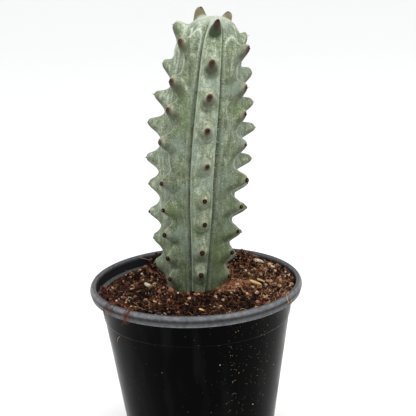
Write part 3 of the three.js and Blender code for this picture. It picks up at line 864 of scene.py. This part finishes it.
# What a tooth marks on the skin: the brown cap and tip, olive painted shade under it and painted
# shade in the crease below that, the peach flush above, the tan skin of the newest teeth at the
# crown, and on the front rib painted shade on its newest tooth and under its top teeth.
for rib, (bearing, teeth) in enumerate(RIBS):
    mine = rib_of == rib
    side = np.where(phase < 0, RIBS[rib - 1][0], RIBS[(rib + 1) % len(RIBS)][0])
    gap = ((side - bearing) * np.sign(phase) + 360) % 360
    moved = np.where(phase > 0, FURROW_SHIFT[rib], -FURROW_SHIFT[rib - 1])
    moved = moved * (1 + FOOT_SHIFT * np.clip(1 - height / SHIFT_FROM, 0, 1))
    turn = np.radians(phase * (gap / 2 + moved))[mine]
    h, r = height[mine], radius[mine]
    tooth_roots = np.array([tip - tooth_rise(tip) for tip, _ in teeth])
    nearest = np.abs(h[:, None] - tooth_roots).min(1)
    deep = np.interp(h, SADDLE_HEIGHTS, SADDLES[rib])
    sunk = deep * (1 - np.exp(-(nearest / SADDLE_SPAN) ** 2)) * (1 - phase[mine] ** 4)
    r = r - sunk * np.clip((shoulder - h) / 20, 0, 1) * np.clip(h / 10, 0, 1)
    full = (rib == FULL_CREST) * FULL_BY * np.exp(-((h - FULL_AT) / FULL_SPAN) ** 2)
    r = r + full * (1 - phase[mine] ** 2)
    crest_at = rib_bearing(h, rib)
    points = np.stack([core_x(h) + r * np.sin(crest_at + turn),
                       STEM_AT[1] - r * np.cos(crest_at + turn), SOIL_LEVEL + h], 1)
    across = r * np.sin(turn)
    for tip, extra in teeth:
        rise = tooth_rise(tip)
        root = tip - rise
        plump = plumpness(rib, tip)
        lift = rise - PLUMP_DROP * plump
        drop = crest_radius(root) - r * np.cos(turn)
        along = np.hypot(h - root, drop) * np.where(h > root, 1, -1)
        shape = tooth_shape(across, along, tip, plump)
        push = (tooth_reach(tip) + extra) * shape
        leaning = crest_at + tooth_lean(rib, tip)
        points += np.stack([np.sin(leaning) * push, -np.cos(leaning) * push, lift * shape], 1)
        young = np.clip((tip - 75) / 70, 0, 1)
        below = np.clip(0.5 - along / 4, 0, 1)
        newest = tip > 185 and rib in (0, 3, 4)
        brown = BROWNNESS[rib]
        above = along - BACK_CAP_LIFT * (newest and rib > 0)
        from_tip = np.hypot(across, above * np.where(above > 0, 1.1, 0.7))
        cap_radius = 1.2 if newest and rib > 0 else 1.8 + 0.5 * young
        cap = brown * np.clip((cap_radius - from_tip) / 0.5, 0, 1)
        marks["cap"][mine] += (1.6 if newest else 1.0) * cap
        marks["tip"][mine] += brown * young * np.clip((2.9 - from_tip) / 1.0, 0, 1) * (not newest)
        marks["under"][mine] += (0.3 + 0.7 * young) * below * np.clip((shape - 0.06) / 0.4, 0, 1)
        marks["crease_shade"][mine] += (not newest) * np.exp(-((shape - 0.13) / 0.08) ** 2) * np.clip(
            -0.4 - along / 3, 0, 1)
        marks["flush"][mine] += brown * (0.3 + 0.7 * young) * (1 - below) * np.clip(
            (shape - 0.55) / 0.3, 0, 1)
        # On the front rib, painted shade darkens the newest tooth and the undersides of the top
        # teeth.
        if rib == 0:
            marks["deep"][mine] += newest * np.clip((shape - 0.06) / 0.25, 0, 1)
            marks["deep"][mine] += 0.7 * (tip > 150) * below * np.clip((shape - 0.06) / 0.3, 0, 1)
        else:
            marks["tan"][mine] += newest * np.clip((shape - 0.08) / 0.25, 0, 1)
    skin_points[mine] = points

# Pale lines lie along the crest and the shoulders of each rib, partly wax and partly a painted
# sheen where the bloom brightens at edges seen edge-on, and the two lines of a flank meet in an
# arch where the rib ends at the crown.
ARCH_FROM, ARCH_RISE = STEM_HEIGHT - 15, 8.0
LOW_ARCH = 6.0
SHOULDER_PHASE = 0.86
CREST_LINE = np.array([0.1, 0.7, 0.6, 0.5, 0.5, 0.7, 0.75])
middle_phase = SHOULDER_PHASE / 2
arch_from = ARCH_FROM - LOW_ARCH * ((rib_of == 1) & (phase < 0))
up = np.maximum(height - arch_from, 0) / ARCH_RISE
from_middle = np.hypot((np.abs(phase) - middle_phase) / middle_phase, up)
line_width = np.where(rib_of == 0, 0.15, 0.11)
marks["line"] = np.exp(-((from_middle - 1) / line_width) ** 2)
marks["line"] *= np.clip((height - 60) / 90, 0.7, 1.2)
on_crest = (np.abs(phase) < 0.25) & (height < ARCH_FROM)
beside_front = ((rib_of == 1) & (phase < 0)) | ((rib_of == 6) & (phase > 0))
on_shoulder = np.where(rib_of == 0, 1.6, 1.0 - 0.5 * (beside_front & (height < ARCH_FROM - 10)))
marks["line"] *= np.where(on_crest, CREST_LINE[rib_of], on_shoulder)
# The furrows are darkened as painted shade, less so low on the stem.
marks["furrow"] = np.clip((np.abs(phase) - 0.91) / 0.06, 0, 1)
marks["furrow"] *= np.clip((195 - height) / 8, 0, 1)
marks["furrow"] *= np.clip((height - 60) / 90, 0.3, 1)
marks["wax"] = np.array(WAXINESS)[rib_of] + 0.6 * np.clip((height - 150) / 41, 0, 1)
marks["wax"] -= 0.5 * np.clip((90 - height) / 70, 0, 1)
marks["greener_foot"] = (rib_of == 1) * np.clip((62 - height) / 30, 0, 1)
marks["bloom"] = np.clip((height - 184) / 7, 0, 1) - marks["tan"]

# Slow swellings about 12 mm long and fine puckers about 2.5 mm long, along the skin's normal.
outward = skin_points - np.stack([core_x(height), np.full(len(height), STEM_AT[1]),
                                  SOIL_LEVEL + np.minimum(height, shoulder)], 1)
outward /= np.maximum(np.linalg.norm(outward, axis=1), 1e-6)[:, None]
swell = np.array([0.3 * noise.noise(Vector(p) * 0.085) + 0.1 * noise.noise(Vector(p) * 0.4)
                  for p in skin_points])
skin_points += outward * swell[:, None]
put_back(stem, skin_points, **{name: np.clip(marks[name], 0, 1.5) for name in marks})

place = add_node(tree, "TexCoord").outputs["Object"]


def mark(name, strength=1.0):
    """How strongly one of the stem's marks shows at a place, from 0 to 1."""
    return add_node(tree, "Math", {0: attribute(tree, name), 1: strength}, operation="MULTIPLY",
                    use_clamp=True).outputs[0]


# Wax lies in blotches about 5 mm across, rubbed and scarred in flecks of about 1 mm, and is
# drawn out along the stem in streaks about 2 mm wide and 12 mm long.
blotch = noise_at(tree, place, 200.0, 3.0, 0.6)
fleck = noise_at(tree, place, 1000.0, 3.0, 0.7)
drawn = add_node(tree, "Mapping", {"Vector": place, "Scale": (1.0, 1.0, 0.16)}).outputs[0]
streak = noise_at(tree, drawn, 500.0, 3.0)
wax = maths(tree, "MULTIPLY_ADD", blotch, 0.4, -0.14)
wax = maths(tree, "MULTIPLY_ADD", fleck, 0.5, wax)
wax = maths(tree, "MULTIPLY_ADD", streak, 0.35, wax)
wax = maths(tree, "MULTIPLY_ADD", mark("wax"), 0.13, wax)
green = ramped(tree, wax, [(0.4, "#404b35"), (0.52, "#626c54"), (0.62, "#838d75"),
                           (0.74, "#bdc5b3")])
# Under the wax the flesh is fresher green in some places and blue-grey in others, in patches
# about 15 mm across.
patch = noise_at(tree, place, 70.0)
fresh = ranged(tree, patch, 0.54, 0.68, 0.0, 0.4)
bluish = ranged(tree, patch, 0.48, 0.34, 0.0, 0.4)
green = tint(tree, green, fresh, "#5c743c")
green = tint(tree, green, bluish, "#7f9084")
# Low on the rib right of the front one the skin is darker green; the ribs' edges carry pale lines,
# partly wax and partly painted sheen; and the furrows are darkened green as painted shade.
green = tint(tree, green, mark("greener_foot", 0.6), "#4b5c33")
line = ranged(tree, fleck, 0.35, 0.6, 0.3, 1.0)
line = maths(tree, "MULTIPLY", line, mark("line"))
green = tint(tree, green, line, "#c3cbbc")
green = tint(tree, green, mark("furrow", 0.65), "#425a2b")
# Scurf: whitish flecks of old wax 0.5 mm wide. At the growing point the wax is thick and white.
scurf = noise_at(tree, place, 1900.0)
scurf = ranged(tree, scurf, 0.6, 0.68, 0.0, 0.5)
green = tint(tree, green, scurf, "#c4cabc")
green = tint(tree, green, mark("bloom", 0.5), "#ccd4ca")
# Under a young tooth the skin is darkened olive as painted shade, with a dark crease of painted
# shade where the tooth meets the rib; above it is flushed peach, and the tip is dry and brown. On
# the front rib the newest tooth and the undersides of the top teeth are darkened green as painted
# shade.
green = tint(tree, green, mark("under", 0.85), "#3b3e2b")
green = tint(tree, green, mark("crease_shade", 0.45), "#3d4529")
green = tint(tree, green, mark("flush", 0.22), "#c29d84")
green = tint(tree, green, mark("tan", 0.9), "#685d3d")
green = tint(tree, green, mark("deep", 0.95), "#25361a")
green = tint(tree, green, mark("tip", 0.6), "#55492f")
green = tint(tree, green, mark("cap", 0.96), "#2a170c")
relief = bumped(tree, fleck, 0.7, 0.0005)
finish_material(tree, out, {"Base Color": green, "Roughness": 0.55, "Normal": relief,
                            "Specular IOR Level": 0.3, "Sheen Weight": 0.05,
                            "Sheen Roughness": 0.5, "Sheen Tint": linear("#e8efe6"),
                            "Subsurface Weight": 0.08, "Subsurface Radius": (0.4, 1.0, 0.3),
                            "Subsurface Scale": 0.002})
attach(stem, "root")
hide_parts("cactus")


# Areoles
# The felted scar at the tip of each tooth: a ring of dark brown felt 2.2 mm wide round a paler
# middle. Each is one small button with a sunk middle, wide low on the stem and small at the crown.
AREOLE_PROFILE = [(0, -0.5), (0.9, -0.45), (1.1, 0.0), (0.98, 0.4), (0.75, 0.5), (0.5, 0.36),
                  (0, 0.28)]
AREOLE_SIDES = 12

# Dry felt: dark brown and quite dull, which makes each areole a dark dot.
dry_felt, tree, out = new_material("dry_brown_areole_felt")
place = add_node(tree, "TexCoord").outputs["Object"]
middle = attribute(tree, "middle")
# Tufts of felt about 0.4 mm wide.
tuft = noise_at(tree, place, 2500.0)
felt = ramped(tree, tuft, [(0.35, "#0c0603"), (0.5, "#1e0f08"), (0.7, "#402415")])
worn = ranged(tree, middle, 0.35, 0.6, 0.1, 0.0)
felt = tint(tree, felt, worn, "#6f6553")
finish_material(tree, out, {"Base Color": felt, "Roughness": 1.0, "Specular IOR Level": 0.05})

teeth_all = [(rib, tip, extra) for rib, (_, teeth) in enumerate(RIBS) for tip, extra in teeth]
button = spin_profile(AREOLE_PROFILE, AREOLE_SIDES)
areoles = new_piece("areoles", doubled(button, int(math.log2(len(teeth_all)))), dry_felt)
coords = copies_in(areoles, len(teeth_all)) / MM
middles = np.hypot(coords[:, :, 0], coords[:, :, 1])
for k, (rib, tip, extra) in enumerate(teeth_all):
    rise = tooth_rise(tip)
    bearing = float(rib_bearing(tip - rise, rib))
    reach = tooth_reach(tip) + extra
    heading = Vector((math.sin(bearing), -math.cos(bearing), 0))
    root = Vector((float(core_x(tip - rise)), STEM_AT[1], SOIL_LEVEL + tip - rise))
    leaning = bearing + tooth_lean(rib, tip)
    axis = Vector((math.sin(leaning), -math.cos(leaning), 0)) * reach + Vector((0, 0, rise))
    drop = Vector((0, 0, PLUMP_DROP * plumpness(rib, tip)))
    centre = root + heading * float(crest_radius(tip - rise)) + axis - drop
    turn = np.array(axis.to_track_quat("Z", "Y").to_matrix())
    wide = rng.uniform(0.85, 1.15) * (0.7 if tip > 150 else 1.0 if tip > 90 else 1.5)
    wide *= 0.65 + 0.35 * BROWNNESS[rib]
    coords[k] = coords[k] * wide @ turn.T + np.array(centre)
put_back(areoles, coords, middle=middles)
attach(areoles, "root")


# Areole wool
# A few short white hairs that stand round each areole, up to 2.4 mm long and 0.14 mm thick, and on
# every other tooth one dry brown bristle. They blur the tips of the teeth against the light.
HAIRS_PER_TOOTH = 7
CROWN_HAIRS = 64
CROWN_SPREAD = 5.0

# Wool is white and dull, and the bristles among it are dark brown.
white_wool, tree, out = new_material("white_areole_wool")
tone = attribute(tree, "tone")
wool_colour = ramped(tree, tone, [(0.0, "#e4e2d8"), (0.5, "#9c8a74"), (1.0, "#24150d")])
finish_material(tree, out, {"Base Color": wool_colour, "Roughness": 0.8})

count = HAIRS_PER_TOOTH * len(teeth_all) + CROWN_HAIRS
wool = new_threads("areole_wool", int(math.log2(count)), white_wool)
roots = np.repeat([c.mean(0) for c in coords], HAIRS_PER_TOOTH, 0)
growing_point = (float(core_x(STEM_HEIGHT)), STEM_AT[1], SOIL_LEVEL + STEM_HEIGHT - 0.6)
on_crown = rng.normal(growing_point, (CROWN_SPREAD, CROWN_SPREAD, 0.1), (CROWN_HAIRS, 3))
axes_out = roots - np.stack([core_x(roots[:, 2] - SOIL_LEVEL), np.full(len(roots), STEM_AT[1]),
                             roots[:, 2]], 1)
axes_out /= np.linalg.norm(axes_out, axis=1)[:, None]
axes_out = np.concatenate([axes_out, np.tile((0.0, 0.0, 1.0), (CROWN_HAIRS, 1))])
roots = np.concatenate([roots, on_crown])
leaning = axes_out + rng.normal(0, 0.7, (count, 3))
bare = np.repeat([BROWNNESS[rib] for rib, _, _ in teeth_all], HAIRS_PER_TOOTH)
bare = np.concatenate([bare, np.full(CROWN_HAIRS, 0.5)])
lengths = rng.uniform(0.8, 2.4, count) * (1.15 - bare)
thickness = 0.01 + 0.06 * (1 - bare)
tones = np.zeros(count)
bristles = np.arange(0, count - CROWN_HAIRS, 2 * HAIRS_PER_TOOTH)
leaning[bristles] = axes_out[bristles] + rng.normal(0, 0.25, (len(bristles), 3))
lengths[bristles], thickness[bristles], tones[bristles] = 2.0, 0.13, 1.0
leaning *= (lengths / np.linalg.norm(leaning, axis=1))[:, None]
steps = np.arange(4)[None, :, None] / 3
knots = roots[:, None, :] + leaning[:, None, :] * steps + rng.normal(0, 0.12, (count, 4, 3))
lay_threads(wool, knots, thickness, tones)
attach(wool, "root")
